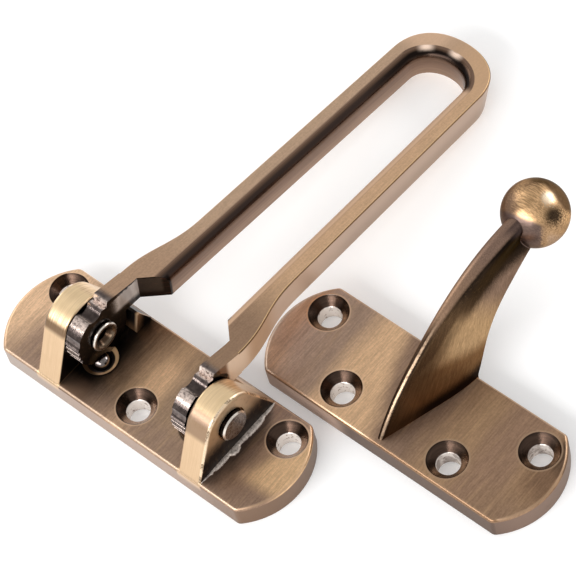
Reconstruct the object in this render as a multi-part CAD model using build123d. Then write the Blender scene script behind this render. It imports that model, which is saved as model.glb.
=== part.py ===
from build123d import *
import math
import os

# Swing-bar door latch in two halves that lie side by side on one surface.
# X runs along both plates, Y from the base plate's front edge towards the bar's closed end, Z up.
# The origin is the middle of the base plate's underside. Lengths are in mm, angles in degrees.

# Both plates
plate_width = 24.8
plate_thickness = 5.8
end_bulge = 5.6
plate_corner_radius = 1.6
plate_edge_round = 0.8
base_corner_length = 66.6
strike_corner_length = 61.2
strike_x = 47.0
strike_gap = 4.15

# Screw holes
screw_hole_radius = 2.55
countersink_radius = 4.5
countersink_depth = 2.1
base_end_hole_x = 31.3
base_end_hole_y = 6.7
base_middle_hole_y = -5.95
strike_outer_hole_x = 28.5
strike_outer_hole_y = 6.1
strike_inner_hole_x = 14.3
strike_inner_hole_y = -6.45

# Cams
cam_radius = 7.3
cam_plate_gap = 0.75
cam_width = 3.8
tooth_height = 1.55
tooth_angle = 71.2
tooth_foot_radius = 4.4
scallop_radius = 2.6
scallop_depth = 0.35
scallop_angle = 159.0
ridge_groove_radius = 0.55
ridge_groove_depth = 0.4
ridge_groove_angles = (175.0, 187.0, 199.0)
swing_angle = 165.0

# Lugs and stop blocks
pivot_y = 0.15
lug_inner_x = 17.2
lug_thickness = 6.2
lug_round_radius = 7.3
lug_edge_round = 0.7
lug_side_gap = 0.25
stop_width = 5.2
stop_front_y = 7.4
stop_height = 4.9
stop_front_lean = 1.7

# Pivot pins
pin_radius = 2.5
pin_head_radius = 3.55
pin_head_thickness = 1.9
pin_head_proud = 1.2
pin_head_edge = 0.35
pin_recess_clearance = 0.35
pin_tail_radius = 3.5
pin_tail_length = 0.7
pin_tail_lip = 0.2
pin_tail_gap = 0.2
pin_hollow_radius = 1.75
pin_hollow_depth = 3.2
pin_mouth_flare = 0.65
pin_mouth_depth = 1.4
pin_drill_tip = 0.8
running_clearance = 0.05

# Swing bar
bar_thickness = 6.6
bar_above_pivot = 0.8
bar_reach = 104.4
tip_lift = 1.85
neck_length = 11.8
step_length = 4.6
shoulder_start = 10.5
shoulder_end = 31.5
shoulder_ease = 9.2
bar_half_width_root = 13.35
bar_half_width_tip = 12.2
slot_half_width_root = 8.3
slot_half_width_tip = 7.2
outer_bend_length = 10.6
outer_bend_fullness = 0.61
slot_bend_length = 5.6
slot_bend_fullness = 0.56
closed_end_width = 6.1
closed_end_setback = 2.4
slot_edge_round = 2.4
bar_edge_round = 0.35

# Detents
detent_inset = 1.05
detent_offset_y = -2.05
ball_radius = 2.2
ball_cam_gap = 0.12
ball_travel = 1.3
ball_bore_clearance = 0.1
bore_floor = 0.9
bore_flare_radius = 4.05
bore_flare_depth = 1.2
spring_wire_radius = 0.24
spring_coil_radius = 1.8
spring_turns = 2.5

# Horn and ball of the strike
knob_radius = 7.35
knob_y = 43.1
knob_height = 16.8
horn_front_setback = 1.2
horn_belly = 0.6
# Slices of the horn: crest run and rise and back run and rise, as shares of the way from the plate
# to the ball's centre, then half width and crest radius
horn_slices = [
    (0.0, 0.0, 0.0, 0.0, 7.3, 0.6),
    (0.125, 0.446, 0.039, 0.083, 6.9, 0.8),
    (0.287, 0.815, 0.134, 0.226, 6.0, 1.1),
    (0.455, 1.083, 0.29, 0.429, 4.75, 1.5),
    (0.643, 1.256, 0.524, 0.619, 3.7, 1.9),
    (0.851, 1.298, 0.769, 0.78, 3.05, 2.1),
    (0.963, 1.232, 0.935, 0.786, 2.6, 1.9),
]

# Worked out from the sizes above
half_width = plate_width / 2
pivot_z = plate_thickness + cam_plate_gap + cam_radius
lug_outer_x = lug_inner_x + lug_thickness
cam_outer_x = lug_inner_x - lug_side_gap
cam_inner_x = cam_outer_x - cam_width
tooth_radius = cam_radius + tooth_height
step_end = neck_length + step_length
bar_top = bar_above_pivot + bar_thickness
tip_reach = bar_reach - closed_end_setback
tip_distance = math.hypot(tip_reach, bar_above_pivot)
bar_tilt = math.degrees(
    math.asin((tip_lift - pivot_z) / tip_distance) - math.atan2(bar_above_pivot, tip_reach)
)
detent_x = cam_inner_x + detent_inset
detent_y = pivot_y + detent_offset_y
notch_radius = ball_radius + ball_cam_gap
ball_drop = math.sqrt((cam_radius + notch_radius) ** 2 - detent_offset_y ** 2)
ball_z = pivot_z - ball_drop
strike_y = plate_width + strike_gap
upwards = (Align.CENTER, Align.CENTER, Align.MIN)
downwards = (Align.CENTER, Align.CENTER, Align.MAX)


def plate(corner_length):
    """A flat bar with straight long edges, bowed ends and a rounded top edge."""
    a, b = corner_length / 2, half_width
    outline = [
        Line((-a, -b), (a, -b)),
        ThreePointArc((a, -b), (a + end_bulge, 0), (a, b)),
        Line((a, b), (-a, b)),
        ThreePointArc((-a, b), (-a - end_bulge, 0), (-a, -b)),
    ]
    face = make_face(outline)
    face = fillet(face.vertices(), plate_corner_radius)
    body = extrude(face, plate_thickness)
    return fillet(body.faces().sort_by(Axis.Z)[-1].edges(), plate_edge_round)


def screw_hole(x, y):
    """A through hole with a cone for the screw's head."""
    cone = Cone(screw_hole_radius, countersink_radius, countersink_depth, align=downwards)
    hole = Cylinder(screw_hole_radius, plate_thickness * 3)
    return Pos(x, y, plate_thickness) * (cone + hole)


def along_x(sketch, x, length):
    """Extrudes a sketch drawn as (Y, Z) from x over length."""
    return extrude(Plane.YZ.offset(x) * sketch, length)


def both_sides(piece):
    """A piece made for the right side, with its mirror image."""
    return [piece, mirror(piece, about=Plane.YZ)]


def lug_outline():
    """A rounded top about the pivot, with straight flanks down to the plate's full width."""
    foot = plate_thickness - plate_edge_round
    top = Pos(pivot_y, pivot_z) * Circle(lug_round_radius)
    return make_hull([Line((-half_width, foot), (half_width, foot))] + top.edges())


def stop_outline():
    """The low block behind each cam, under the same back slope as the lug."""
    foot = plate_thickness - plate_edge_round
    top = plate_thickness + stop_height
    corners = Polyline(
        (stop_front_y, foot),
        (stop_front_y, plate_thickness),
        (stop_front_y + stop_front_lean, top),
        (plate_width, top),
        (plate_width, foot),
        close=True,
    )
    return lug_outline() & make_face(corners)


def pin_seat():
    """The hole for a pin through the right lug, with the recess for its head."""
    recess_depth = pin_head_thickness - pin_head_proud
    hole = Pos(0, 0, lug_inner_x + lug_thickness / 2) * Cylinder(pin_radius, lug_thickness * 2)
    recess = Cylinder(pin_head_radius + pin_recess_clearance, lug_thickness, align=upwards)
    return Pos(0, pivot_y, pivot_z) * Rot(0, 90, 0) * (hole + Pos(0, 0, lug_outer_x - recess_depth) * recess)


def detent_bore():
    """A blind hole with a flared mouth for a spring and its ball."""
    radius = ball_radius + ball_bore_clearance
    bore = Pos(0, 0, bore_floor) * Cylinder(radius, plate_thickness, align=upwards)
    flare = Cone(radius, bore_flare_radius, bore_flare_depth, align=downwards)
    return Pos(detent_x, detent_y, 0) * (bore + Pos(0, 0, plate_thickness) * flare)


def base_plate():
    """The plate, both lugs and both stop blocks, cast as one piece."""
    lug = along_x(lug_outline(), lug_inner_x, lug_thickness)
    rims = [e for e in lug.edges() if e.center().Z > plate_thickness and e.bounding_box().size.X < 0.01]
    lug = fillet(rims, lug_edge_round)
    stop = along_x(stop_outline(), lug_inner_x - stop_width, stop_width + lug_edge_round)
    body = plate(base_corner_length)
    for cut in both_sides(detent_bore()):
        body -= cut
    for piece in both_sides(lug + stop):
        body += piece
    for cut in both_sides(pin_seat()):
        body -= cut
    for cut in both_sides(screw_hole(base_end_hole_x, base_end_hole_y)):
        body -= cut
    return body - screw_hole(0, base_middle_hole_y)


def pivot_pin():
    """A rivet with a flat head in the lug's recess and a hollow, spread tail past the cam."""
    head_out = lug_outer_x + pin_head_proud
    head_in = head_out - pin_head_thickness
    tail_start = cam_inner_x - pin_tail_gap
    tail_end = tail_start - pin_tail_length
    lip_start = (pin_tail_radius - pin_tail_lip, tail_start)
    lip_middle = (pin_tail_radius, (tail_start + tail_end) / 2)
    lip_end = ((pin_tail_radius + pin_hollow_radius) / 2, tail_end)
    outside = Polyline(
        (0, head_out),
        (pin_head_radius - pin_head_edge, head_out),
        (pin_head_radius, head_out - pin_head_edge),
        (pin_head_radius, head_in),
        (pin_radius, head_in),
        (pin_radius, tail_start),
        lip_start,
    )
    lip = ThreePointArc(lip_start, lip_middle, lip_end)
    inside = Polyline(
        lip_end,
        (pin_hollow_radius + pin_mouth_flare, tail_end + pin_tail_lip),
        (pin_hollow_radius, tail_end + pin_mouth_depth),
        (pin_hollow_radius, tail_end + pin_hollow_depth),
        (0, tail_end + pin_hollow_depth + pin_drill_tip),
        (0, head_out),
    )
    face = make_face(outside.edges() + lip.edges() + inside.edges())
    return Pos(0, pivot_y, pivot_z) * Rot(0, 90, 0) * revolve(Plane.XZ * face, Axis.Z)


def slope(start, end):
    """The change of X for each unit along the bar."""
    return (end[0] - start[0]) / (end[1] - start[1])


def bend(start, tip_y, taper, fullness):
    """A quarter of a round end, from one side of the bar or slot to its middle."""
    x, y = start
    pull = (tip_y - y) * fullness
    return Bezier(start, (x + taper * pull, y + pull), (x * fullness, tip_y), (0, tip_y))


def bar_outline(height, setback):
    """The bar past its necks at a height: shoulders, slot and a closed end moved back by a setback."""
    slot_end = bar_reach - closed_end_width
    shoulder_foot = (cam_outer_x, shoulder_start)
    shoulder_top = (bar_half_width_root, shoulder_end)
    bar_taper = slope(shoulder_top, (bar_half_width_tip, bar_reach - outer_bend_length))
    bar_bend = (bar_half_width_tip - bar_taper * setback, bar_reach - outer_bend_length - setback)
    slot_root = (slot_half_width_root, step_end)
    slot_bend = (slot_half_width_tip, slot_end - slot_bend_length)
    slot_taper = slope(slot_root, slot_bend)
    half = [
        Bezier(
            shoulder_foot,
            (cam_outer_x, shoulder_start + shoulder_ease),
            (bar_half_width_root - bar_taper * shoulder_ease, shoulder_end - shoulder_ease),
            shoulder_top,
        ),
        Line(shoulder_top, bar_bend),
        bend(bar_bend, bar_reach - setback, bar_taper, outer_bend_fullness),
        Line(shoulder_foot, (cam_inner_x, shoulder_start)),
        Line((cam_inner_x, shoulder_start), (cam_inner_x, neck_length)),
        Line((cam_inner_x, neck_length), slot_root),
        Line(slot_root, slot_bend),
        bend(slot_bend, slot_end, slot_taper, slot_bend_fullness),
    ]
    return Pos(0, 0, height) * make_face(half + [mirror(edge, about=Plane.YZ) for edge in half])


def turned(radius, angle):
    """A point at an angle about the pivot, from +Y towards +Z."""
    return radius * math.cos(math.radians(angle)), radius * math.sin(math.radians(angle))


def cam_outline():
    """A scalloped disc with a tooth and the neck, in the level bar's frame, about the pivot."""
    neck = Polyline(
        (0, bar_above_pivot),
        turned(tooth_foot_radius, tooth_angle),
        turned(tooth_radius, tooth_angle),
        (shoulder_start, bar_top),
        (shoulder_start, bar_above_pivot),
        close=True,
    )
    outline = Circle(cam_radius) + make_face(neck)
    notch_z = ball_travel - ball_drop
    notch_reach = math.hypot(detent_offset_y, notch_z)
    shut_angle = math.degrees(math.atan2(notch_z, detent_offset_y)) - bar_tilt
    for angle in (shut_angle, shut_angle - swing_angle):
        outline -= Pos(turned(notch_reach, angle)) * Circle(notch_radius)
    scallop_reach = cam_radius + scallop_radius - scallop_depth
    outline -= Pos(turned(scallop_reach, scallop_angle)) * Circle(scallop_radius)
    groove_reach = cam_radius + ridge_groove_radius - ridge_groove_depth
    for angle in ridge_groove_angles:
        outline -= Pos(turned(groove_reach, angle)) * Circle(ridge_groove_radius)
    return outline


def rim_edges(body, z):
    """The edges that lie flat at one height."""
    return [e for e in body.edges() if e.bounding_box().size.Z < 0.01 and abs(e.center().Z - z) < 0.01]


def is_slot_edge(edge):
    """Whether an edge runs round the slot, past the steps."""
    box = edge.bounding_box()
    reach = max(abs(box.min.X), abs(box.max.X))
    return reach < slot_half_width_root + 0.1 and box.min.Y > step_end - 0.1 and box.size.Y > 1


def is_outer_edge(edge):
    """Whether an edge runs along the bar's outside, past the necks."""
    box = edge.bounding_box()
    reach = max(abs(box.min.X), abs(box.max.X))
    return reach > bar_half_width_tip - 0.1 and box.size.Y > closed_end_width


def swing_bar():
    """The U-shaped bar with its two cams, cast as one piece and laid down on the detents."""
    underside = bar_outline(bar_above_pivot, closed_end_setback)
    bar = loft([underside, bar_outline(bar_top, 0)], ruled=True)
    bar = fillet([e for e in rim_edges(bar, bar_top) if is_slot_edge(e)], slot_edge_round)
    outside = [e for z in (bar_top, bar_above_pivot) for e in rim_edges(bar, z) if is_outer_edge(e)]
    bar = fillet(outside, bar_edge_round)
    for cam in both_sides(along_x(cam_outline(), cam_inner_x, cam_width)):
        bar += cam
    bar -= Rot(0, 90, 0) * Cylinder(pin_radius + running_clearance, cam_outer_x * 3)
    return Pos(0, pivot_y, pivot_z) * Rot(bar_tilt, 0, 0) * bar


def detent_ball():
    """The steel ball that rises into the cam's notch."""
    return Pos(detent_x, detent_y, ball_z) * Sphere(ball_radius)


def detent_spring():
    """The short coil under the ball."""
    contact = math.sqrt(ball_radius ** 2 - spring_coil_radius ** 2)
    top = ball_z - contact - spring_wire_radius * 2
    height = top - bore_floor - spring_wire_radius
    path = Helix(height / spring_turns, height, spring_coil_radius)
    start = Plane(path @ 0, z_dir=path % 0)
    coil = sweep(start * Circle(spring_wire_radius), path=path)
    return Pos(detent_x, detent_y, bore_floor + spring_wire_radius) * coil


def horn_section(crest_run, crest_rise, back_run, back_rise, section_half_width, crest_radius):
    """One slice of the horn, from its flat back to its rounded crest."""
    front = horn_front_setback - half_width
    crest_y = front + (knob_y - front) * crest_run
    crest_z = plate_thickness + knob_height * crest_rise
    back_y = half_width + (knob_y - half_width) * back_run
    back_z = plate_thickness + knob_height * back_rise
    depth = math.hypot(crest_y - back_y, crest_z - back_z)
    towards = Vector(0, (crest_y - back_y) / depth, (crest_z - back_z) / depth)
    across = Vector(1, 0, 0)
    plane = Plane(origin=(0, back_y, back_z), x_dir=across, z_dir=across.cross(towards))
    w, r = section_half_width, crest_radius
    belly = (w * horn_belly, depth / 2)
    shoulder = (r, depth - r * 0.7)
    right = Spline((w, 0), belly, shoulder, tangents=((-0.1, 1), (-0.35, 1)))
    crest = ThreePointArc(shoulder, (0, depth), (-shoulder[0], shoulder[1]))
    return plane * make_face([Line((-w, 0), (w, 0)), right, crest, mirror(right, about=Plane.YZ)])


def strike_plate():
    """The plate with its leaning horn and ball, cast as one piece."""
    sections = [horn_section(*horn_slice) for horn_slice in horn_slices]
    foot = extrude(sections[0], plate_edge_round, dir=(0, 0, -1))
    knob = Pos(0, knob_y, plate_thickness + knob_height) * Sphere(knob_radius)
    body = plate(strike_corner_length) + foot + loft(sections) + knob
    for x, y in (
        (strike_outer_hole_x, strike_outer_hole_y),
        (strike_inner_hole_x, strike_inner_hole_y),
    ):
        for cut in both_sides(screw_hole(x, y)):
            body -= cut
    return Pos(strike_x, strike_y, 0) * body


nodes = {
    "base_plate": base_plate(),
    "swing_bar": swing_bar(),
    "strike_plate": strike_plate(),
}
for name, piece in (
    ("pivot_pin", pivot_pin()),
    ("detent_ball", detent_ball()),
    ("detent_spring", detent_spring()),
):
    nodes[name + "_right"], nodes[name + "_left"] = both_sides(piece)

os.makedirs("parts", exist_ok=True)
for name, shape in nodes.items():
    export_step(shape, "parts/" + name + ".step")
print("bar tilt", round(bar_tilt, 3), "pivot", pivot_y, round(pivot_z, 3))
print("ball", round(detent_x, 3), round(detent_y, 3), round(ball_z, 3), "detent travel", ball_travel)
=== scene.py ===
"""Looks of the door latch: brushed antique brass with dark patina, and with painted shade, reflections and
highlights, seen from the photograph's angle.
"""

import math
import random

import bmesh
import bpy
from mathutils import Matrix, Vector


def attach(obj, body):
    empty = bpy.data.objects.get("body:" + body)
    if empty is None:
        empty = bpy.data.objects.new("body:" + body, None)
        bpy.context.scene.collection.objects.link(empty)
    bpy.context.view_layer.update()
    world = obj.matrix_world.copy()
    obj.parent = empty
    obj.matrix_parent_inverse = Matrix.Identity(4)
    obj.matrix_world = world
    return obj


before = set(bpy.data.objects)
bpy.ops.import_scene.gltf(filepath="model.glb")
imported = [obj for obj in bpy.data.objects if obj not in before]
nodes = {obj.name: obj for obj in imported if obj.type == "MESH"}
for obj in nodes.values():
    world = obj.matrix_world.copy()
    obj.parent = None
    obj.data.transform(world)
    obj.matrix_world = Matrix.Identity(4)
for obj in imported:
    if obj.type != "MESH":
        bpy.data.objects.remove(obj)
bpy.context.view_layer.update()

# Camera, from the vanishing lines and screw holes of the photograph
CAMERA_RIGHT = (0.746798, 0.645079, -0.161759)
CAMERA_DOWN = (0.490190, -0.698290, -0.521637)
CAMERA_FORWARD = (-0.449451, 0.310264, -0.837693)
CAMERA_PLACE = (0.334546, -0.191222, 0.615553)
SENSOR_WIDTH = 36.0
FOCAL_PIXELS = 3433.55
PICTURE_WIDTH = 576
CLIP_START = 0.01
CLIP_END = 20.0

# Floor and world; the floor's lift is a glow that only the camera and reflections see
FLOOR_SIZE = 6.0
FLOOR_DROP = 0.0001
FLOOR_COLOUR = 0.84
FLOOR_ROUGHNESS = 0.9
FLOOR_SPECULAR = 0.1
FLOOR_LIFT = 0.2
WORLD_STRENGTH = 0.68

# Lamps: name, place and aim in metres, width and height in metres, and power in watts
LAMPS = (
    ("lamp_front", (0.03, -0.82, 0.59), (0.02, 0.02, 0.01), (1.1, 0.38), 9.5),
    ("lamp_back", (0.32, 0.88, 0.46), (0.02, 0.04, 0.01), (0.6, 0.22), 2.6),
    ("lamp_left", (-0.95, 0.05, 0.6), (0.0, 0.02, 0.01), (0.5, 0.5), 1.5),
)

# Both plates, their holes and lugs, in millimetres in the row frame
PLATE_TOP = 5.8
HOLE_RADIUS = 2.55
COUNTERSINK_RADIUS = 4.5
BASE_HOLES = ((31.3, 6.7), (-31.3, 6.7), (0.0, -5.95))
STRIKE_X = 47.0
STRIKE_Y = 28.95
STRIKE_FRONT_Y = 16.55
STRIKE_HOLES = ((28.5, 6.1), (-28.5, 6.1), (14.3, -6.45), (-14.3, -6.45))
DETENTS = ((14.2, -1.9), (-14.2, -1.9))
BORE_FLARE_RADIUS = 4.05
LUG_INNER_X = 17.0
LUG_OUTER_X = 23.4

# The bar: its pivot and tilt, and places along it from the pivot
PIVOT_Y = 0.15
PIVOT_Z = 13.85
BAR_TILT = math.radians(-7.205)
SLOT_ARC_START = 91.1
# Where two painted highlights sit on the slot's closed end
SLOT_LIT_SPOTS = ((-6.4, 97.9), (0.2, 100.4))
CAM_REACH = 8.1

# The horn, whose crest rises from its foot by HORN_RISE * run - HORN_CURVE * run * run
HORN_FOOT_Y = 18.2
HORN_FOOT_Z = 6.4
HORN_RISE = 1.1
HORN_CURVE = 0.0145
HORN_MIDDLE_Y = 37.2

# The knob: its middle, its radius, and the picture's right and down over that radius
KNOB = (47.0, 72.05, 22.6)
KNOB_RADIUS = 7.35
KNOB_ACROSS = (0.1016, 0.0878, -0.022)
KNOB_DOWN = (0.0667, -0.095, -0.071)


def srgb(red, green, blue):
    """The linear colour of a screen colour given from 0 to 255."""
    return tuple(((c / 255 + 0.055) / 1.055) ** 2.4 for c in (red, green, blue)) + (1.0,)


class Finish:
    """A material and short ways to build its nodes. Lengths in it are millimetres."""

    def __init__(self, name, metallic=1.0):
        self.material = bpy.data.materials.new(name)
        self.material.use_nodes = True
        self.tree = self.material.node_tree
        self.shader = self.tree.nodes["Principled BSDF"]
        self.shader.inputs["Metallic"].default_value = metallic
        coords = self.new("ShaderNodeTexCoord")
        self.place = self.vector("MULTIPLY", coords.outputs["Object"], (1000, 1000, 1000))
        self.x, self.y, self.z = self.parts(self.place)
        self.nx, self.ny, self.nz = self.parts(coords.outputs["Normal"])

    def new(self, kind):
        return self.tree.nodes.new(kind)

    def put(self, socket, value):
        """Links a socket, or sets a number or colour."""
        if isinstance(value, bpy.types.NodeSocket):
            self.tree.links.new(value, socket)
        elif isinstance(value, tuple):
            socket.default_value = value[: len(socket.default_value)]
        else:
            socket.default_value = value

    def parts(self, vector):
        node = self.new("ShaderNodeSeparateXYZ")
        self.put(node.inputs[0], vector)
        return node.outputs[0], node.outputs[1], node.outputs[2]

    def join(self, x, y, z):
        node = self.new("ShaderNodeCombineXYZ")
        for socket, value in zip(node.inputs, (x, y, z)):
            self.put(socket, value)
        return node.outputs[0]

    def vector(self, operation, a, b):
        node = self.new("ShaderNodeVectorMath")
        node.operation = operation
        self.put(node.inputs[0], a)
        self.put(node.inputs[1], b)
        return node.outputs[0]

    def math(self, operation, a, b=0.0):
        node = self.new("ShaderNodeMath")
        node.operation = operation
        self.put(node.inputs[0], a)
        self.put(node.inputs[1], b)
        return node.outputs[0]

    def plus(self, a, b):
        return self.math("ADD", a, b)

    def minus(self, a, b):
        return self.math("SUBTRACT", a, b)

    def times(self, a, b):
        return self.math("MULTIPLY", a, b)

    def size(self, a):
        return self.math("ABSOLUTE", a)

    def fade(self, value, low, high):
        """0 at low and 1 at high, smooth between; low may be the larger."""
        node = self.new("ShaderNodeMapRange")
        node.interpolation_type = "SMOOTHSTEP"
        self.put(node.inputs["Value"], value)
        node.inputs["From Min"].default_value = low
        node.inputs["From Max"].default_value = high
        return node.outputs["Result"]

    def scale(self, value, low, high):
        """A factor from 0 to 1, taken to the range low to high."""
        node = self.new("ShaderNodeMapRange")
        self.put(node.inputs["Value"], value)
        node.inputs["To Min"].default_value = low
        node.inputs["To Max"].default_value = high
        return node.outputs["Result"]

    def all_of(self, *factors):
        found = factors[0]
        for factor in factors[1:]:
            found = self.times(found, factor)
        return found

    def any_of(self, *factors):
        found = factors[0]
        for factor in factors[1:]:
            found = self.math("MAXIMUM", found, factor)
        return found

    def inverse(self, factor):
        return self.minus(1.0, factor)

    def mix(self, factor, a, b):
        """Colour a where the factor is 0, colour b where it is 1."""
        node = self.new("ShaderNodeMix")
        node.data_type = "RGBA"
        self.put(node.inputs[0], factor)
        self.put(node.inputs[6], a)
        self.put(node.inputs[7], b)
        return node.outputs[2]

    def lay(self, colour, mask, amount, over):
        """Another colour laid over a ground, by up to that amount where the mask is 1."""
        return self.mix(self.scale(mask, 0.0, amount), colour, over)

    def mix_value(self, factor, a, b):
        node = self.new("ShaderNodeMix")
        for socket, value in zip(node.inputs[:1] + node.inputs[2:4], (factor, a, b)):
            self.put(socket, value)
        return node.outputs[0]

    def shade(self, colour, factor):
        """A colour made lighter or darker by a factor."""
        node = self.new("ShaderNodeVectorMath")
        node.operation = "SCALE"
        self.put(node.inputs[0], colour)
        self.put(node.inputs[3], factor)
        return node.outputs[0]

    def noise(self, stretch, detail=2.0, rough=0.5, shift=0.0, at=None):
        """Noise from 0 to 1, with stretch lumps per millimetre along each axis."""
        node = self.new("ShaderNodeTexNoise")
        moved = self.vector("ADD", at or self.place, (shift, shift * 1.7, shift * 0.6))
        self.put(node.inputs["Vector"], self.vector("MULTIPLY", moved, stretch))
        node.inputs["Scale"].default_value = 1.0
        node.inputs["Detail"].default_value = detail
        node.inputs["Roughness"].default_value = rough
        return node.outputs[0]

    def from_axis(self, a, b, centre_a, centre_b):
        """Distance from an axis that crosses the plane of a and b at that centre."""
        da = self.minus(a, centre_a)
        db = self.minus(b, centre_b)
        squares = self.plus(self.times(da, da), self.times(db, db))
        return self.math("SQRT", squares)

    def from_point(self, centre):
        node = self.new("ShaderNodeVectorMath")
        node.operation = "DISTANCE"
        self.put(node.inputs[0], self.place)
        self.put(node.inputs[1], centre)
        return node.outputs["Value"]

    def along(self, vector, direction):
        """How far a vector reaches along a direction."""
        node = self.new("ShaderNodeVectorMath")
        node.operation = "DOT_PRODUCT"
        self.put(node.inputs[0], vector)
        self.put(node.inputs[1], direction)
        return node.outputs["Value"]

    def nearest_axis(self, centres):
        found = None
        for cx, cy in centres:
            distance = self.from_axis(self.x, self.y, cx, cy)
            found = distance if found is None else self.math("MINIMUM", found, distance)
        return found

    def dull(self, *parts):
        """Lowers Metallic; each part is a mask and by how much where the mask is 1."""
        lowered = self.any_of(*(self.scale(mask, 0.0, amount) for mask, amount in parts))
        self.put(self.shader.inputs["Metallic"], self.inverse(lowered))

    def bump(self, height, depth):
        """Relief of that depth in millimetres where the height goes from 0 to 1."""
        node = self.new("ShaderNodeBump")
        node.inputs["Strength"].default_value = 1.0
        node.inputs["Distance"].default_value = depth / 1000
        self.put(node.inputs["Height"], height)
        self.put(self.shader.inputs["Normal"], node.outputs[0])

    def done(self, colour, roughness):
        self.put(self.shader.inputs["Base Color"], colour)
        self.put(self.shader.inputs["Roughness"], roughness)
        return self.material


# Colours of the finish, from worn metal and painted sheen to the darkest patina and painted shade
WEAR_AND_SHEEN = srgb(250, 226, 196)
HONEY = srgb(214, 176, 132)
BROWN = srgb(142, 114, 95)
BLACK = srgb(30, 25, 23)

BRUSHED_ROUGHNESS = (0.3, 0.42)
TURNED_ROUGHNESS = 0.22
SLOT_ROUGHNESS = 0.2
CAM_ROUGHNESS = (0.08, 0.2)
PATINA_TINT = (0.6, 0.54, 0.48, 1.0)


def brush_lines(f, x=3.4, y=3.4, z=3.4, long=0.25, at=None):
    """Scratches along the axes whose number is 0: fine ones, and the soft bands that they gather in."""
    narrow = tuple(n or long for n in (x, y, z))
    wide = tuple(n * 0.25 or long * 0.3 for n in (x, y, z))
    fine = f.noise(narrow, detail=3.0, rough=0.7, at=at)
    bands = f.noise(wide, detail=2.0, rough=0.55, shift=31.0, at=at)
    return fine, bands


def brushed(f, colour, fine, bands, depth=1.0):
    """Lighter and darker brush bands laid over a ground colour."""
    colour = f.lay(colour, f.fade(bands, 0.5, 0.75), 0.18 * depth, HONEY)
    colour = f.lay(colour, f.fade(bands, 0.48, 0.25), 0.2 * depth, BROWN)
    colour = f.shade(colour, f.scale(f.fade(fine, 0.3, 0.7), 1 - 0.16 * depth, 1 + 0.14 * depth))
    patches = f.noise((2.2, 2.2, 2.2), detail=2.0, shift=17.0)
    return f.shade(colour, f.scale(f.fade(patches, 0.3, 0.7), 0.93, 1.06))


def below_top(f):
    """1 on a plate's own surfaces, 0 on what stands on it."""
    return f.fade(f.z, PLATE_TOP + 0.05, PLATE_TOP + 0.01)


def hole_wall(f, around):
    """1 on the walls of the screw holes."""
    return f.fade(around, HOLE_RADIUS + 0.16, HOLE_RADIUS + 0.04)


def lip_mask(f, around):
    """1 on a narrow ring of a plate's top around each countersink."""
    ring = f.fade(around, COUNTERSINK_RADIUS + 0.45, COUNTERSINK_RADIUS + 0.1)
    return f.all_of(ring, f.fade(f.nz, 0.9, 0.98))


def plate_roughness(f, fine, around):
    """Brushed, and smoother in the turned countersinks."""
    turned = f.all_of(f.fade(around, COUNTERSINK_RADIUS, COUNTERSINK_RADIUS - 0.2),
                      f.fade(f.z, PLATE_TOP + 0.05, PLATE_TOP))
    return f.mix_value(turned, f.scale(fine, *BRUSHED_ROUGHNESS), TURNED_ROUGHNESS)


def screw_holes(f, colour, holes):
    """Dark smooth countersinks with a painted reflection that makes them lighter where they face left,
    walls painted pale as light and blotched darker, and a thin bright lip.
    """
    around = f.nearest_axis(holes)
    inside = f.fade(around, COUNTERSINK_RADIUS + 0.03, COUNTERSINK_RADIUS - 0.07)
    # Painted reflection: the cone lighter where it faces left
    facing_left = f.fade(f.plus(f.nx, f.times(f.ny, -0.5)), 0.35, -0.65)
    cone = f.mix(facing_left, srgb(76, 60, 51), srgb(184, 154, 130))
    turned = f.noise((0.3, 0.3, 5.0), detail=3.0, rough=0.6, shift=5.0)
    cone = f.shade(cone, f.scale(f.fade(turned, 0.35, 0.65), 0.8, 1.18))
    cone = f.lay(cone, f.fade(around, COUNTERSINK_RADIUS - 0.6, COUNTERSINK_RADIUS - 0.05), 0.75,
                 srgb(44, 35, 30))
    # Painted light: the walls near white, blotched darker
    stained = f.fade(f.noise((1.3, 1.3, 1.3), detail=3.0, shift=9.0), 0.34, 0.42)
    wall = f.mix(stained, srgb(168, 152, 144), srgb(255, 247, 240))
    cone = f.mix(hole_wall(f, around), cone, wall)
    low = below_top(f)
    colour = f.lay(colour, f.all_of(lip_mask(f, around), low), 0.6, srgb(236, 200, 166))
    return f.mix(f.all_of(inside, low), colour, cone), around


def plate_sides(f, colour, around, tone):
    """The pale sides of a plate, under a thin bright line at its top edge, and where they are."""
    plate = f.all_of(below_top(f), f.fade(around, COUNTERSINK_RADIUS + 0.1, COUNTERSINK_RADIUS + 0.4))
    flank = f.all_of(plate, f.fade(f.nz, 0.45, 0.1), f.fade(f.z, PLATE_TOP - 0.45, PLATE_TOP - 0.9))
    colour = f.mix(flank, colour, tone)
    edge = f.all_of(plate, f.fade(f.nz, 0.985, 0.9), f.fade(f.nz, 0.4, 0.7))
    end = f.fade(f.size(f.nx), 0.1, 0.4)
    line = f.mix(end, srgb(222, 194, 168), srgb(206, 170, 138))
    return f.mix(f.scale(edge, 0.0, 0.5), colour, line), flank


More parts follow.
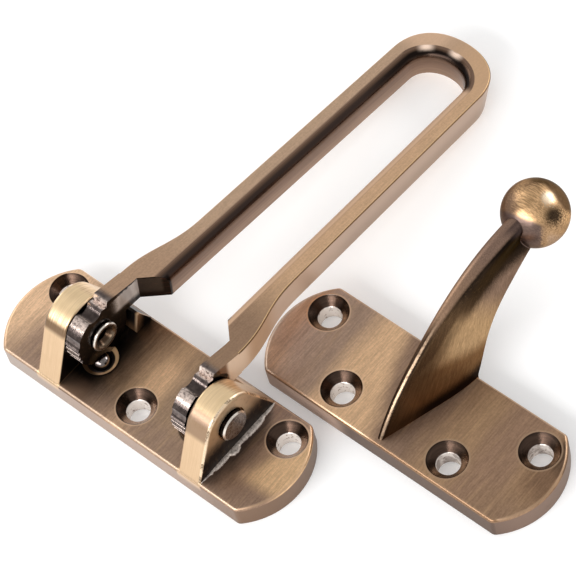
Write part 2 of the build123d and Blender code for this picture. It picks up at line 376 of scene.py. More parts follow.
def base_ground(f, x, fine, bands):
    """The top from left to right: a pale end, painted black before the left cam as a reflection of the dark
    lug and cam, pale in the middle, then dark.
    """
    leaning = f.minus(x, f.times(f.y, 0.3))
    past_lug = f.fade(x, -24.0, -19.0)
    colour = f.mix(f.fade(leaning, -35.0, -26.0), srgb(242, 202, 164), srgb(168, 140, 120))
    # Painted reflection: black where the top mirrors the dark lug and cam
    colour = f.mix(past_lug, colour, BLACK)
    colour = f.mix(f.fade(x, -13.5, -8.5), colour, srgb(146, 118, 94))
    colour = f.mix(f.fade(x, -8.5, -0.5), colour, srgb(230, 188, 148))
    colour = f.mix(f.fade(x, 0.5, 4.5), colour, srgb(172, 143, 117))
    back = f.all_of(f.fade(x, -8.0, -3.0), f.fade(f.y, 4.0, 9.0))
    colour = f.lay(colour, back, 0.4, srgb(136, 108, 84))
    front = f.all_of(f.fade(f.y, -4.0, -9.0), f.fade(x, -14.0, -9.0))
    colour = f.lay(colour, front, 0.6, srgb(164, 136, 118))
    colour = f.mix(f.fade(x, 18.0, 23.0), colour, srgb(104, 86, 77))
    colour = f.mix(f.fade(leaning, 24.0, 30.0), colour, srgb(158, 130, 110))
    right_back = f.all_of(f.fade(x, 21.0, 24.0), f.fade(f.y, 3.0, 9.0))
    colour = f.lay(colour, right_back, 0.5, srgb(184, 152, 132))
    right_corner = f.all_of(f.fade(x, 32.0, 36.0), f.fade(f.y, 5.0, 9.0))
    colour = f.lay(colour, right_corner, 0.8, srgb(252, 228, 206))
    right_end = f.all_of(f.fade(leaning, 28.5, 33.0), f.fade(f.y, -7.5, -3.5))
    colour = f.mix(right_end, colour, srgb(232, 192, 148))
    colour = brushed(f, colour, fine, bands)
    # Painted shade: black again over the brushing, a little lighter along the front
    shaded = f.all_of(past_lug, f.fade(x, -6.5, -12.5))
    colour = f.lay(colour, shaded, 0.8, BLACK)
    strip = f.all_of(shaded, f.fade(f.y, -6.5, -10.5), f.fade(f.x, -19.0, -16.0))
    return f.lay(colour, strip, 0.8, srgb(138, 110, 90))


def lug_brass(f, colour, off_middle, flank_line, cloud):
    """Golden brushed lugs, with painted shade at the foot of their outer faces, on their inner faces and at
    their bends, and worn along their rims with a painted highlight.
    """
    lug = f.all_of(f.fade(f.z, PLATE_TOP, PLATE_TOP + 0.15),
                   f.fade(off_middle, LUG_INNER_X - 0.1, LUG_INNER_X + 0.15))
    on_right = f.fade(f.x, -5.0, 5.0)
    gold = f.mix(f.fade(flank_line, 0.32, 0.68), srgb(204, 171, 132), srgb(246, 216, 178))
    gold = f.lay(gold, f.fade(cloud, 0.46, 0.66), 0.4, srgb(200, 166, 120))

    # The bend from the sloping front to the top, with painted shade under its highlight and painted shade
    # dimming the right lug's highlight
    forward = f.fade(f.ny, -0.1, -0.2)
    turn = f.plus(f.nz, f.scale(on_right, 0.0, -0.06))
    foot = f.plus(f.z, f.scale(on_right, -1.6, 0.0))
    under = f.all_of(f.fade(turn, 0.76, 0.62), forward, f.fade(foot, 14.6, 16.0))
    gold = f.lay(gold, f.all_of(forward, f.fade(f.nz, 0.6, 0.5)), 0.8, srgb(214, 183, 148))
    gold = f.lay(gold, under, 0.85, f.mix(on_right, srgb(106, 82, 62), srgb(148, 121, 98)))
    gold = f.lay(gold, f.fade(f.nz, 0.82, 0.92), 0.65, srgb(255, 226, 180))
    lean = f.all_of(forward, on_right, f.fade(f.nz, 0.92, 0.84), f.fade(f.nz, 0.62, 0.7))
    gold = f.lay(gold, lean, 0.9, srgb(158, 132, 112))
    rising = f.all_of(f.fade(f.ny, 0.1, -0.3), f.fade(f.z, 3.0, 5.0),
                      f.fade(off_middle, LUG_INNER_X - 0.1, LUG_INNER_X + 0.2),
                      f.fade(off_middle, LUG_OUTER_X + 0.2, LUG_OUTER_X))
    colour = f.mix(f.any_of(lug, f.scale(rising, 0.0, 0.8)), colour, gold)

    # Outer and inner faces: painted shade low on the outer faces, and the inner faces painted black as
    # shade
    upright = f.all_of(f.fade(f.size(f.nx), 0.75, 0.95), lug)
    outer = f.all_of(upright, f.fade(off_middle, LUG_OUTER_X - 0.9, LUG_OUTER_X - 0.2))
    mottle = f.noise((0.9, 0.9, 0.9), detail=4.0, rough=0.7, shift=8.0)
    height = f.plus(f.z, f.scale(mottle, -1.2, 1.2))
    face = f.mix(f.fade(height, 9.6, 14.6), srgb(46, 38, 35), srgb(216, 190, 158))
    face = f.lay(face, f.fade(mottle, 0.5, 0.7), 0.3, srgb(140, 114, 78))
    colour = f.mix(outer, colour, face)
    inner = f.all_of(upright, f.fade(off_middle, LUG_INNER_X + 1.0, LUG_INNER_X + 0.5))
    colour = f.mix(inner, colour, BLACK)

    # The worn and chipped rim of the right lug, with a soft painted highlight along it
    speck = f.noise((4.5, 4.5, 4.5), detail=3.0, rough=0.8, shift=14.0)
    rim = f.all_of(lug, f.fade(off_middle, LUG_OUTER_X - 0.8, LUG_OUTER_X - 0.5),
                   f.fade(f.nx, 0.15, 0.35), f.fade(f.nx, 0.93, 0.8))
    colour = f.lay(colour, rim, 0.4, WEAR_AND_SHEEN)
    colour = f.lay(colour, f.all_of(rim, f.fade(speck, 0.44, 0.54)), 0.8, WEAR_AND_SHEEN)
    chip = f.all_of(rim, f.fade(cloud, 0.5, 0.54), f.fade(speck, 0.6, 0.5))
    return f.lay(colour, chip, 0.8, srgb(96, 72, 46))


def stop_brass(f, colour, off_middle, cloud):
    """The stop blocks, lit from the right and black behind, and where they don't face along X."""
    stop = f.all_of(f.fade(f.z, PLATE_TOP, PLATE_TOP + 0.1),
                    f.fade(off_middle, LUG_INNER_X + 0.15, LUG_INNER_X - 0.05))
    side = f.fade(f.size(f.nx), 0.5, 0.8)
    tone = f.mix(f.fade(f.x, -13.0, -12.2), BLACK, srgb(224, 186, 148))
    behind = f.minus(f.y, f.times(f.z, 0.35))
    tone = f.mix(side, tone, f.mix(f.fade(behind, 5.2, 8.0), srgb(206, 168, 132), BLACK))
    low = f.fade(f.plus(f.z, f.times(cloud, 1.5)), 9.4, 6.8)
    tone = f.lay(tone, f.all_of(f.inverse(side), low), 0.8, srgb(120, 88, 62))
    return f.mix(stop, colour, tone), f.all_of(stop, f.inverse(side))


def flare_brass(f, colour):
    """The flared mouths of the detent bores, painted lighter where they face left and front and darker
    elsewhere as light and shade, painted black deep in the bore as shade, each in a black ring, and where
    they are.
    """
    detent = f.nearest_axis(DETENTS)
    low = below_top(f)
    flare = f.all_of(f.fade(detent, BORE_FLARE_RADIUS + 0.05, BORE_FLARE_RADIUS - 0.1), low)
    # Painted light and shade: lighter where the flare faces left and front
    facing = f.fade(f.plus(f.nx, f.ny), 0.55, -0.5)
    brass = f.mix(facing, srgb(104, 76, 50), srgb(244, 200, 150))
    brass = f.lay(brass, f.fade(detent, BORE_FLARE_RADIUS - 0.3, BORE_FLARE_RADIUS - 0.05), 0.6,
                  f.mix(facing, srgb(84, 62, 44), srgb(216, 172, 124)))
    # Painted shade: black deep in the bore
    deep = f.fade(detent, BORE_FLARE_RADIUS - 1.1, BORE_FLARE_RADIUS - 0.8)
    colour = f.mix(flare, colour, f.mix(deep, BLACK, brass))
    ring = f.fade(detent, BORE_FLARE_RADIUS + 0.7, BORE_FLARE_RADIUS + 0.1)
    halo = f.all_of(ring, f.inverse(flare), low, f.fade(f.nz, 0.9, 0.98))
    return f.lay(colour, halo, 0.85, BLACK), flare


def base_brass():
    f = Finish("base_brass")
    fine, bands = brush_lines(f, y=0.0, z=0.0)
    x = f.plus(f.x, f.scale(f.noise((0.16, 0.05, 0.16), shift=4.0), -2.0, 2.0))
    colour = base_ground(f, x, fine, bands)
    colour, around = screw_holes(f, colour, BASE_HOLES)
    tone = f.mix(f.fade(x, -30.0, -8.0), srgb(164, 147, 135), srgb(160, 136, 120))
    tone = f.mix(f.fade(x, 14.0, 32.0), tone, srgb(120, 91, 68))
    colour, flank = plate_sides(f, colour, around, tone)
    off_middle = f.size(f.x)
    flank_line = f.noise((4.0, 0.12, 0.12), detail=3.0, rough=0.7, shift=2.0)
    cloud = f.noise((0.35, 0.35, 0.35), detail=2.0, shift=12.0)
    colour = lug_brass(f, colour, off_middle, flank_line, cloud)
    colour, stop_front = stop_brass(f, colour, off_middle, cloud)
    colour, flare = flare_brass(f, colour)
    f.dull((flank, 0.45), (hole_wall(f, around), 0.5), (stop_front, 0.5), (flare, 0.35))
    f.bump(f.plus(fine, f.times(flank_line, 0.4)), 0.02)
    return f.done(colour, plate_roughness(f, fine, around))


def strike_ground(f, x, y, fine, bands):
    """The top in soft lighter and darker tones from left to right."""
    leaning = f.plus(x, f.times(y, 0.4))
    colour = f.mix(f.fade(x, -32.0, -24.0), srgb(202, 182, 170), srgb(174, 146, 126))
    colour = f.mix(f.fade(x, -22.0, -15.0), colour, srgb(228, 188, 148))
    colour = f.mix(f.fade(leaning, -9.5, -4.0), colour, srgb(152, 124, 104))
    colour = f.mix(f.fade(x, 4.0, 12.0), colour, srgb(178, 144, 112))
    colour = f.mix(f.all_of(f.fade(x, 15.0, 21.0), f.fade(x, 31.0, 25.0)), colour, srgb(164, 132, 108))
    colour = f.mix(f.all_of(f.fade(x, 20.0, 27.0), f.fade(y, -2.0, -9.0)), colour, srgb(162, 131, 105))
    colour = f.mix(f.all_of(f.fade(x, 28.0, 33.0), f.fade(y, -8.0, 0.0)), colour, srgb(140, 110, 86))
    left_corner = f.all_of(f.fade(x, -26.0, -31.0), f.fade(y, -4.0, -9.0))
    colour = f.lay(colour, left_corner, 0.9, srgb(228, 204, 184))
    right_corner = f.all_of(f.fade(x, 29.5, 32.5), f.fade(y, 2.5, 6.5))
    colour = f.lay(colour, right_corner, 0.85, srgb(88, 69, 55))
    return brushed(f, colour, fine, bands)


def right_hole_shade_and_stains(f, colour, around):
    """The strike's two right holes: a dimmed lip, painted shade on the lower cone, and darker patches on
    the walls, partly stains and partly painted shade.
    """
    right = f.fade(f.x, 52.0, 56.0)
    ring = f.all_of(right, lip_mask(f, around),
                    f.fade(around, COUNTERSINK_RADIUS - 0.05, COUNTERSINK_RADIUS + 0.1))
    colour = f.lay(colour, ring, 0.5, srgb(124, 98, 76))
    # Painted shade: the cone darker where its faces point back and not right
    cone = f.all_of(right, f.fade(around, COUNTERSINK_RADIUS, COUNTERSINK_RADIUS - 0.1),
                    f.fade(around, HOLE_RADIUS + 0.1, HOLE_RADIUS + 0.25),
                    f.fade(f.ny, 0.1, 0.35), f.fade(f.nx, 0.15, -0.1))
    colour = f.lay(colour, cone, 0.75, srgb(84, 66, 56))
    stains = f.fade(f.noise((0.5, 0.5, 0.5), detail=3.0, shift=24.0), 0.42, 0.58)
    return f.lay(colour, f.all_of(right, hole_wall(f, around), stains), 0.6, srgb(132, 116, 108))


def horn_brass(f, speck):
    """The horn: brown brushed sides with painted shade at the foot and under the knob, a dark band under
    its crest, and a thin painted highlight along its front edge, broken like wear.
    """
    run = f.minus(f.y, HORN_FOOT_Y)
    crest = f.minus(f.times(run, HORN_RISE), f.times(f.times(run, run), HORN_CURVE))
    depth = f.minus(f.plus(crest, HORN_FOOT_Z), f.z)
    aside = f.minus(f.x, STRIKE_X)
    foot = f.minus(f.y, f.z)
    high = f.plus(f.y, f.z)
    grain, swaths = brush_lines(f, x=5.0, y=5.0, z=0.0, long=0.2, at=f.join(f.x, foot, high))
    rise = f.plus(f.z, f.scale(speck, -0.8, 0.8))

    # Right side, painted near-black as shade at the foot and dark under the knob
    sloping = f.plus(rise, f.times(f.minus(f.y, HORN_MIDDLE_Y), 0.3))
    horn = f.mix(f.fade(sloping, 15.6, 12.2), srgb(182, 148, 109), srgb(124, 90, 59))
    horn = f.mix(f.fade(rise, 9.4, 7.0), horn, srgb(40, 30, 25))
    horn = f.lay(horn, f.fade(foot, 23.0, 18.0), 0.6, srgb(104, 78, 54))
    near_knob = f.fade(high, 62.0, 74.0)
    horn = f.lay(horn, near_knob, 0.9, srgb(126, 102, 88))
    edge = f.plus(depth, f.scale(speck, -1.4, 1.4))
    edge = f.plus(edge, f.scale(f.fade(high, 54.0, 42.0), 0.0, 2.4))
    upper_band = f.all_of(f.fade(high, 58.0, 68.0), f.fade(edge, 8.6, 5.6))
    band = f.any_of(f.fade(edge, 5.8, 3.4), upper_band, f.scale(f.fade(edge, 7.8, 5.4), 0.0, 0.5))
    horn = f.mix(f.scale(band, 0.0, 0.97), horn, f.mix(near_knob, srgb(92, 70, 50), srgb(40, 30, 23)))
    under_knob = f.all_of(f.fade(high, 78.0, 86.0), f.fade(edge, 6.0, 4.0))
    horn = f.lay(horn, under_knob, 0.9, srgb(24, 17, 13))
    glints = f.all_of(band, f.fade(speck, 0.58, 0.66), f.fade(high, 84.0, 70.0))
    horn = f.lay(horn, glints, 0.55, srgb(160, 128, 94))
    horn = f.mix(f.fade(swaths, 0.35, 0.7), f.shade(horn, 0.84), horn)

    # Left side and top
    left = f.fade(aside, -0.15, -0.6)
    left_foot = f.mix(f.fade(aside, -1.4, -3.0), srgb(62, 49, 42), srgb(156, 130, 114))
    horn = f.mix(left, horn, f.mix(f.fade(f.z, 9.0, 20.0), left_foot, srgb(166, 134, 110)))
    upper = f.all_of(f.fade(f.y, 34.0, 42.0), f.fade(f.nz, 0.55, 0.85))
    horn = f.lay(horn, upper, 0.85, srgb(166, 134, 110))
    upper_end = f.all_of(f.any_of(upper, left), f.fade(f.y, 46.0, 58.0))
    horn = f.lay(horn, upper_end, 0.7, srgb(132, 108, 96))
    neck = f.all_of(f.fade(high, 88.0, 92.0), f.fade(aside, 0.0, 0.6))
    horn = f.lay(horn, neck, 0.8, srgb(74, 60, 57))

    # The edge that faces the front: a painted highlight along a broken line, with painted shade beside it
    keen = f.all_of(f.fade(f.ny, -0.2, -0.4), f.fade(f.y, 42.0, 34.0))
    beside = f.all_of(keen, f.fade(f.size(aside), 1.1, 0.7))
    horn = f.lay(horn, beside, 0.8, srgb(50, 38, 31))
    ragged = f.plus(f.size(f.minus(aside, 0.3)), f.scale(speck, -0.3, 0.3))
    breaks = f.noise((0.45, 0.45, 0.45), detail=4.0, rough=0.7, shift=33.0)
    line = f.all_of(keen, f.fade(ragged, 0.34, 0.14), f.scale(f.fade(breaks, 0.36, 0.5), 0.35, 1.0))
    horn = f.mix(line, horn, srgb(170, 144, 120))
    return f.shade(horn, f.scale(f.fade(grain, 0.3, 0.7), 0.76, 1.2))


def knob_brass(f):
    """The ball on the horn, with shade, reflections and a highlight painted by how far across and down it
    is seen from the photograph's angle.
    """
    arcs = f.noise((0.5, 3.2, 3.2), detail=4.0, rough=0.7, shift=21.0)
    drift = f.scale(arcs, -0.2, 0.2)
    out = f.vector("SUBTRACT", f.place, KNOB)
    across = f.plus(f.along(out, KNOB_ACROSS), drift)
    down = f.plus(f.along(out, KNOB_DOWN), drift)
    above = f.minus(f.times(across, 0.8), f.times(down, 0.6))
    beneath = f.minus(down, f.times(across, 0.4))
    knob = f.mix(f.fade(arcs, 0.32, 0.68), srgb(180, 144, 104), srgb(224, 182, 136))
    knob = f.lay(knob, f.fade(across, -0.35, -0.8), 0.9, srgb(120, 95, 80))
    for mask, amount, tone in (
        ((f.fade(down, -0.5, -0.85), f.fade(across, 0.3, -0.2)), 0.6, (150, 118, 92)),
        ((f.fade(above, 0.56, 0.72), f.fade(down, 0.1, -0.1)), 0.92, (92, 70, 51)),
        ((f.fade(down, -0.7, -0.9), f.fade(across, -0.4, 0.0)), 0.9, (76, 58, 42)),
        ((f.fade(beneath, 0.26, 0.4), f.fade(across, 0.3, 0.05)), 0.95, (104, 87, 82)),
        ((f.fade(down, 0.2, 0.4), f.fade(across, 0.05, 0.25)), 0.6, (150, 120, 90)),
        ((f.fade(down, 0.55, 0.75), f.fade(across, 0.2, 0.4)), 0.6, (176, 150, 130)),
    ):
        knob = f.lay(knob, f.all_of(*mask), amount, srgb(*tone))
    # A painted dark reflection, then a painted highlight
    spot = f.plus(f.from_axis(across, down, 0.46, 0.1), drift)
    knob = f.lay(knob, f.all_of(f.fade(spot, 0.42, 0.1), f.fade(f.nx, 0.0, 0.3)), 0.94, srgb(46, 35, 28))
    painted_glint = f.plus(f.from_axis(across, down, 0.28, -0.4), drift)
    knob = f.lay(knob, f.fade(painted_glint, 0.26, 0.06), 0.7, srgb(255, 240, 214))
    return f.shade(knob, f.scale(f.fade(arcs, 0.35, 0.65), 0.84, 1.1))


def strike_brass():
    f = Finish("strike_brass")
    fine, bands = brush_lines(f, y=0.0, z=0.0)
    wander = f.scale(f.noise((0.14, 0.05, 0.14), shift=7.0), -2.5, 2.5)
    x = f.plus(f.minus(f.x, STRIKE_X), wander)
    y = f.minus(f.y, STRIKE_Y)
    colour = strike_ground(f, x, y, fine, bands)
    holes = tuple((STRIKE_X + a, STRIKE_Y + b) for a, b in STRIKE_HOLES)
    colour, around = screw_holes(f, colour, holes)
    colour = right_hole_shade_and_stains(f, colour, around)
    tone = f.mix(f.fade(x, -13.0, -7.0), srgb(192, 163, 146), srgb(92, 73, 63))
    tone = f.mix(f.fade(f.nx, 0.45, 0.95), tone, srgb(132, 108, 94))
    colour, flank = plate_sides(f, colour, around, tone)
    # Painted shade: the bright front top edge dimmed on its right part
    front_edge = f.all_of(f.fade(f.ny, -0.1, -0.35), f.fade(f.nz, 0.985, 0.9), f.fade(f.nz, 0.3, 0.5),
                          f.fade(f.y, STRIKE_FRONT_Y + 1.35, STRIKE_FRONT_Y + 0.85), below_top(f),
                          f.fade(x, -6.0, 0.0))
    colour = f.lay(colour, front_edge, 0.85, srgb(128, 98, 73))
    speck = f.noise((3.5, 3.5, 3.5), detail=4.0, rough=0.8, shift=3.0)
    on_horn = f.fade(f.z, PLATE_TOP + 0.02, PLATE_TOP + 0.12)
    colour = f.mix(on_horn, colour, horn_brass(f, speck))
    on_knob = f.fade(f.from_point(KNOB), KNOB_RADIUS + 0.25, KNOB_RADIUS + 0.05)
    colour = f.mix(f.all_of(on_knob, on_horn), colour, knob_brass(f))
    f.dull((flank, 0.55), (hole_wall(f, around), 0.5))
    f.put(f.shader.inputs["Specular Tint"], PATINA_TINT)
    f.bump(f.plus(fine, f.times(speck, 0.5)), 0.02)
    return f.done(colour, plate_roughness(f, fine, around))


class BarFinish(Finish):
    """The bar's material, with places and normals in the tilted bar's own frame, from its pivot."""

    def __init__(self, name):
        super().__init__(name)
        cosine, sine = math.cos(BAR_TILT), math.sin(BAR_TILT)
        y = self.minus(self.y, PIVOT_Y)
        z = self.minus(self.z, PIVOT_Z)
        self.reach = self.plus(self.times(y, cosine), self.times(z, sine))
        self.height = self.minus(self.times(z, cosine), self.times(y, sine))
        self.n_reach = self.plus(self.times(self.ny, cosine), self.times(self.nz, sine))
        self.n_up = self.minus(self.times(self.nz, cosine), self.times(self.ny, sine))
        self.wander = self.scale(self.noise((0.1, 0.03, 0.1), shift=3.0), -0.5, 0.5)
        self.ragged = self.noise((1.4, 1.4, 1.4), detail=4.0, rough=0.75, shift=6.0)

        # 1 where a surface faces away from the slot's middle line, -1 where it faces that line
        end = self.math("MAXIMUM", self.minus(self.reach, SLOT_ARC_START), 0.0)
        middle = self.math("SQRT", self.plus(self.times(self.x, self.x), self.times(end, end)))
        outwards = self.plus(self.times(self.x, self.nx), self.times(end, self.n_reach))
        self.facing = self.math("DIVIDE", outwards, middle)
        past_step = self.fade(self.reach, 12.0, 13.0)
        self.inward = self.all_of(self.fade(self.facing, -0.03, -0.15), past_step)
        past_cam = self.fade(self.reach, 6.2, 7.4)
        self.outward = self.all_of(self.fade(self.facing, 0.05, 0.25), past_cam)


def bar_ground(f, fine, bands):
    """The bar's top, dark at its shoulders and smoother at its closed end."""
    to_right = f.fade(f.plus(f.x, f.times(f.wander, 6.0)), -6.0, 6.0)
    ground = f.mix(to_right, srgb(204, 172, 144), srgb(220, 181, 144))
    closed_end = f.all_of(f.fade(f.reach, 94.0, 99.0), f.fade(f.x, -1.0, -6.0))
    ground = f.mix(closed_end, ground, srgb(232, 194, 162))
    shoulder = f.mix(f.fade(f.x, -4.0, -8.0), srgb(156, 127, 104), srgb(190, 156, 128))
    ground = f.lay(ground, f.fade(f.reach, 34.0, 16.0), 0.92, shoulder)
    smoother = f.scale(f.fade(f.reach, 90.0, 96.0), 0.0, 0.65)
    return f.mix(smoother, brushed(f, ground, fine, bands, depth=0.5), ground)


def slot_brass(f, colour):
    """The slot's wall and its round top edge: a painted dark reflection on the seen side, with two painted
    highlights as lit spots, and painted pale on the other.

    Also where that edge is dark, lit and pale."""
    grain = f.noise((0.1, 0.05, 2.2), detail=3.0, rough=0.6, shift=27.0, at=f.join(f.x, f.reach, f.height))
    wall = f.mix(f.fade(f.height, 1.6, 4.6), srgb(158, 131, 112), srgb(128, 103, 87))
    wall = f.shade(wall, f.scale(f.fade(grain, 0.3, 0.7), 0.88, 1.1))
    colour = f.mix(f.inward, colour, wall)
    seen = f.any_of(f.fade(f.x, 3.0, 0.0), f.fade(f.reach, 92.5, 95.0))
    # Painted reflection: the round edge dark on the seen side
    hollow = f.all_of(f.inward, f.fade(f.n_up, 0.02, 0.7), f.fade(f.n_up, 0.999, 0.94), seen)
    darkest_reflection = f.mix(f.fade(f.reach, 76.0, 93.0), srgb(62, 50, 45), srgb(32, 25, 22))
    colour = f.mix(hollow, colour, f.mix(f.fade(f.n_up, 0.82, 0.99), darkest_reflection, srgb(112, 88, 72)))
    spots = f.math("MINIMUM", *(f.from_axis(f.x, f.reach, a, b) for a, b in SLOT_LIT_SPOTS))
    lit = f.all_of(f.inward, seen, f.fade(spots, 2.5, 0.3), f.fade(f.n_up, 0.72, 0.97))
    colour = f.lay(colour, lit, 0.95, srgb(255, 226, 204))
    far_edge = f.all_of(f.inward, f.fade(f.n_up, 0.1, 0.5), f.inverse(seen))
    return f.mix(far_edge, colour, srgb(200, 164, 133)), hollow, lit, far_edge


def side_brass(f, colour):
    """The outer sides, pale towards the lugs, under a painted dark line and a painted highlight line along
    the right arm's top edge, and where they are.
    """
    root = f.fade(f.reach, 52.0, 30.0)
    side = f.mix(f.fade(f.height, 2.0, 5.5), srgb(168, 142, 122), srgb(184, 157, 137))
    root_tone = f.mix(f.fade(f.reach, 26.0, 20.0), srgb(226, 196, 172), srgb(206, 168, 134))
    side = f.lay(side, root, 1.0, root_tone)
    side = f.lay(side, f.fade(f.reach, 16.0, 11.0), 1.0, srgb(234, 204, 176))
    on_side = f.all_of(f.outward, f.fade(f.n_up, 0.5, 0.2))
    colour = f.mix(on_side, colour, side)
    right = f.fade(f.x, 2.0, 6.0)
    # Painted shade, then a painted highlight, along the right arm's top edge
    dark = f.all_of(f.outward, f.fade(f.n_up, 0.97, 0.85), f.fade(f.n_up, 0.1, 0.35), right)
    colour = f.mix(f.scale(dark, 0.0, 0.9), colour, srgb(104, 76, 50))
    bright = f.all_of(f.outward, f.fade(f.n_up, 0.9, 0.97), f.fade(f.n_up, 0.9999, 0.999), right)
    return f.lay(colour, bright, 0.8, srgb(252, 214, 160)), on_side, root


def neck_brass(f, colour):
    """The necks' inner faces, bare grey with ragged limits and painted black as shade around that, and the
    steps beside them painted black as shade with reddish score lines.
    """
    inner = f.all_of(f.fade(f.facing, -0.5, -0.8), f.fade(f.reach, 17.2, 16.6))
    near = f.all_of(f.fade(f.plus(f.reach, f.scale(f.ragged, -1.0, 1.0)), 2.6, 6.0),
                    f.fade(f.height, 1.6, 3.4), f.fade(f.size(f.x), 9.1, 9.7))
    bare = f.all_of(near, f.fade(f.plus(f.height, f.scale(f.ragged, -0.9, 0.9)), 7.3, 6.9))
    streak = f.noise((0.5, 0.5, 0.1), detail=2.0, shift=41.0)
    pale = f.mix(f.fade(streak, 0.35, 0.65), srgb(166, 152, 143), srgb(196, 182, 172))
    colour = f.mix(inner, colour, f.mix(bare, BLACK, pale))
    # Painted shade: the steps black, with reddish score lines
    step = f.all_of(f.fade(f.n_reach, -0.35, -0.55), f.fade(f.reach, 11.0, 12.0),
                    f.fade(f.reach, 26.0, 24.0))
    scored = f.noise((0.3, 0.3, 5.0), detail=3.0, rough=0.7, shift=19.0)
    colour = f.mix(step, colour, f.mix(f.fade(scored, 0.55, 0.72), srgb(20, 15, 14), srgb(64, 38, 33)))
    return colour, f.all_of(inner, bare)


def cam_brass(f, colour, on_side, grey_face, mottle):
    """The cams: gunmetal rims with edges partly worn and partly painted as highlights, painted highlights
    on the humps, painted shade in the notches, and faces painted almost black as shade.

    Also where they are, and where they shine."""
    from_pivot = f.from_axis(f.y, f.z, PIVOT_Y, PIVOT_Z)
    flat = f.size(f.nx)
    cam = f.any_of(f.fade(f.plus(f.reach, f.times(f.wander, 2.0)), 5.6, 3.6),
                   f.fade(from_pivot, CAM_REACH + 0.2, CAM_REACH - 0.2))
    cam = f.all_of(cam, f.inverse(f.all_of(on_side, f.fade(f.reach, 4.0, 6.0))))
    inner_side = f.fade(f.times(f.x, f.nx), 2.0, -2.0)
    cam = f.any_of(cam, f.all_of(f.fade(f.reach, 11.0, 9.5), f.fade(f.n_up, 0.6, 0.3), inner_side))
    on_rim = f.all_of(f.fade(flat, 0.7, 0.4), cam)

    tone = f.mix(f.fade(mottle, 0.35, 0.7), srgb(88, 78, 75), srgb(134, 121, 115))
    # Tooth crowns: partly wear, partly painted highlight
    crown = f.all_of(f.fade(from_pivot, 7.3, 7.8), f.fade(from_pivot, 9.3, 8.7), f.fade(f.n_up, 0.99, 0.94),
                     f.fade(f.ragged, 0.36, 0.52))
    tone = f.lay(tone, crown, 0.75, srgb(214, 198, 186))
    # Painted shade: the faces almost black
    face = f.mix(f.fade(mottle, 0.5, 0.7), srgb(38, 32, 30), srgb(84, 72, 67))
    tone = f.mix(f.fade(flat, 0.7, 0.95), tone, face)
    # Edges between face and rim: partly wear, partly painted highlight
    brim = f.all_of(f.fade(flat, 0.25, 0.5), f.fade(flat, 0.95, 0.85), f.fade(f.ragged, 0.4, 0.55))
    tone = f.lay(tone, brim, 0.75, srgb(210, 198, 188))
    # Painted shade in the notches and under the shine; painted highlights on the rim and a lobe
    notch = f.all_of(on_rim, f.fade(from_pivot, 6.8, 6.2))
    tone = f.lay(tone, notch, 0.6, srgb(44, 35, 32))
    below_shine = f.all_of(on_rim, f.fade(f.y, 0.0, -1.0), f.fade(f.n_up, 0.74, 0.68),
                           f.fade(f.n_up, 0.48, 0.56))
    tone = f.lay(tone, below_shine, 0.5, srgb(64, 55, 52))
    shine = f.all_of(on_rim, f.fade(f.y, 0.5, -0.5), f.fade(f.n_up, 0.7, 0.78), f.fade(f.n_up, 0.97, 0.84),
                     f.fade(f.ragged, 0.25, 0.6))
    tone = f.lay(tone, shine, 0.95, srgb(226, 206, 194))
    lobe = f.all_of(on_rim, f.fade(from_pivot, 7.1, 7.25), f.fade(f.reach, 1.0, 1.6),
                    f.fade(f.reach, 3.4, 2.6), f.fade(f.ragged, 0.3, 0.6))
    tone = f.lay(tone, lobe, 0.95, srgb(236, 216, 204))
    return f.mix(f.all_of(cam, f.inverse(grey_face)), colour, tone), cam, shine, lobe


def bar_brass():
    f = BarFinish("bar_brass")
    fine, bands = brush_lines(f, x=4.5, y=0.0, z=0.0)
    mottle = f.noise((0.8, 0.8, 0.8), detail=4.0, rough=0.7, shift=11.0)
    colour = bar_ground(f, fine, bands)
    colour, hollow, lit, far_edge = slot_brass(f, colour)
    colour, on_side, root = side_brass(f, colour)
    colour, grey_face = neck_brass(f, colour)
    colour, cam, shine, lobe = cam_brass(f, colour, on_side, grey_face, mottle)
    near_lug = f.fade(f.reach, 18.0, 12.0)
    f.dull((on_side, 0.5), (f.all_of(on_side, root), 0.75), (grey_face, 0.85), (far_edge, 0.6), (lit, 0.5),
           (shine, 0.5), (lobe, 0.6), (f.all_of(on_side, near_lug), 0.95))
    f.bump(f.plus(fine, f.all_of(cam, mottle)), 0.015)
    rough = f.mix_value(hollow, f.scale(fine, *BRUSHED_ROUGHNESS), SLOT_ROUGHNESS)
    rough = f.mix_value(cam, rough, f.scale(mottle, *CAM_ROUGHNESS))
    return f.done(colour, rough)


def pin_steel():
    """Rivets: grey faces, sides painted near-black as shade, rims bright partly from wear and partly as a
    painted highlight, and a brass-brown hollow painted darker deeper in as shade.
    """
    f = Finish("rivet_steel")
    radius = f.from_axis(f.y, f.z, PIVOT_Y, PIVOT_Z)
    reach = f.size(f.x)
    flat = f.size(f.nx)
    speck = f.noise((1.2, 1.2, 1.2), detail=4.0, rough=0.7)
    colour = f.mix(f.fade(speck, 0.35, 0.65), srgb(126, 115, 110), srgb(166, 155, 149))
    # Painted shade: the head's side near-black
    colour = f.mix(f.all_of(f.fade(flat, 0.3, 0.1), f.fade(reach, 19.0, 20.0)), colour, srgb(22, 18, 17))
    # Bright rims: partly wear, partly painted highlight
    worn = f.all_of(f.fade(flat, 0.97, 0.75), f.fade(flat, 0.05, 0.3))
    colour = f.lay(colour, worn, 0.9, srgb(238, 228, 216))
    # Painted shade: the hollow darker deeper in
    inside = f.all_of(f.fade(radius, 3.05, 2.75), f.fade(reach, 19.0, 17.0))
    colour = f.mix(inside, colour, f.mix(f.fade(radius, 2.5, 2.1), srgb(112, 96, 80), srgb(70, 54, 42)))
    f.bump(speck, 0.03)
    return f.done(colour, f.scale(speck, 0.2, 0.36))


